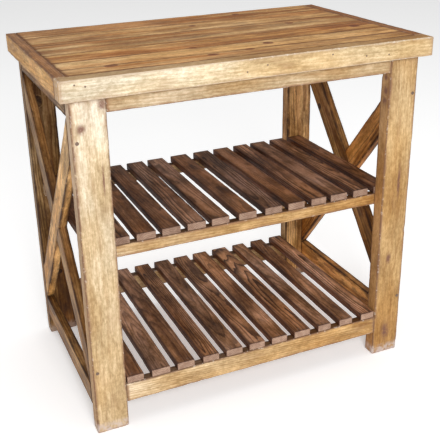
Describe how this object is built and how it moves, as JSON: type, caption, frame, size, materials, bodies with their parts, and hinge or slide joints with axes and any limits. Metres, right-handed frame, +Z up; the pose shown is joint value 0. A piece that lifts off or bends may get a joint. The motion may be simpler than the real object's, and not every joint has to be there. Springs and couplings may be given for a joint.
{
  "type": "kitchen island table",
  "caption": "Rustic reclaimed-pine kitchen island with a thick plank top, board legs, X-braced ends and two open slatted shelves in dark stain.",
  "frame": {"origin": "on the floor, under the middle of the top", "axes": "+X along the long side of the top, +Y from the front to the back, +Z up"},
  "size_m": [0.932, 0.582, 0.9],
  "materials": {
    "striped_pine": "waxed, striped heart and sap wood, satin",
    "waxed_pine": "honey wax over planed reclaimed pine, satin",
    "golden_pine": "darker golden-brown wax, satin",
    "walnut_stained_pine": "dark walnut stain worn at the ends, satin",
    "nail_iron": "dull blackened iron"
  },
  "bodies": {
    "root": {"apron_back": "waxed_pine", "apron_front": "waxed_pine", "brace_left_rising_back": "golden_pine", "brace_left_rising_front": "golden_pine", "brace_nail_back_left_high": "nail_iron", "brace_nail_back_left_low": "nail_iron", "brace_nail_back_right_high": "nail_iron", "brace_nail_back_right_low": "nail_iron", "brace_nail_front_left_high": "nail_iron", "brace_nail_front_left_low": "nail_iron", "brace_nail_front_right_high": "nail_iron", "brace_nail_front_right_low": "nail_iron", "brace_right_rising_back": "golden_pine", "brace_right_rising_front": "golden_pine", "end_strip_left": "golden_pine", "end_strip_right": "golden_pine", "front_edging": "waxed_pine", "leg_back_left": "waxed_pine", "leg_back_right": "waxed_pine", "leg_front_left": "waxed_pine", "leg_front_right": "waxed_pine", "low_shelf_rail_back": "waxed_pine", "low_shelf_rail_front": "waxed_pine", "low_side_rail_left": "golden_pine", "low_side_rail_right": "golden_pine", "low_slat_01": "walnut_stained_pine", "low_slat_02": "walnut_stained_pine", "low_slat_03": "walnut_stained_pine", "low_slat_04": "walnut_stained_pine", "low_slat_05": "walnut_stained_pine", "low_slat_06": "walnut_stained_pine", "low_slat_07": "walnut_stained_pine", "low_slat_08": "walnut_stained_pine", "low_slat_09": "walnut_stained_pine", "low_slat_10": "walnut_stained_pine", "low_slat_11": "walnut_stained_pine", "mid_shelf_rail_back": "waxed_pine", "mid_shelf_rail_front": "waxed_pine", "mid_slat_01": "walnut_stained_pine", "mid_slat_02": "walnut_stained_pine", "mid_slat_03": "walnut_stained_pine", "mid_slat_04": "walnut_stained_pine", "mid_slat_05": "walnut_stained_pine", "mid_slat_06": "walnut_stained_pine", "mid_slat_07": "walnut_stained_pine", "mid_slat_08": "walnut_stained_pine", "mid_slat_09": "walnut_stained_pine", "mid_slat_10": "walnut_stained_pine", "mid_slat_11": "walnut_stained_pine", "mid_slat_12": "walnut_stained_pine", "mid_slat_13": "walnut_stained_pine", "top_plank_1": "striped_pine", "top_plank_2": "striped_pine", "top_plank_3": "striped_pine", "top_plank_4": "striped_pine", "top_plank_5": "striped_pine", "top_plank_6": "striped_pine", "top_side_rail_left": "golden_pine", "top_side_rail_right": "golden_pine"}
  },
  "joints": []
}
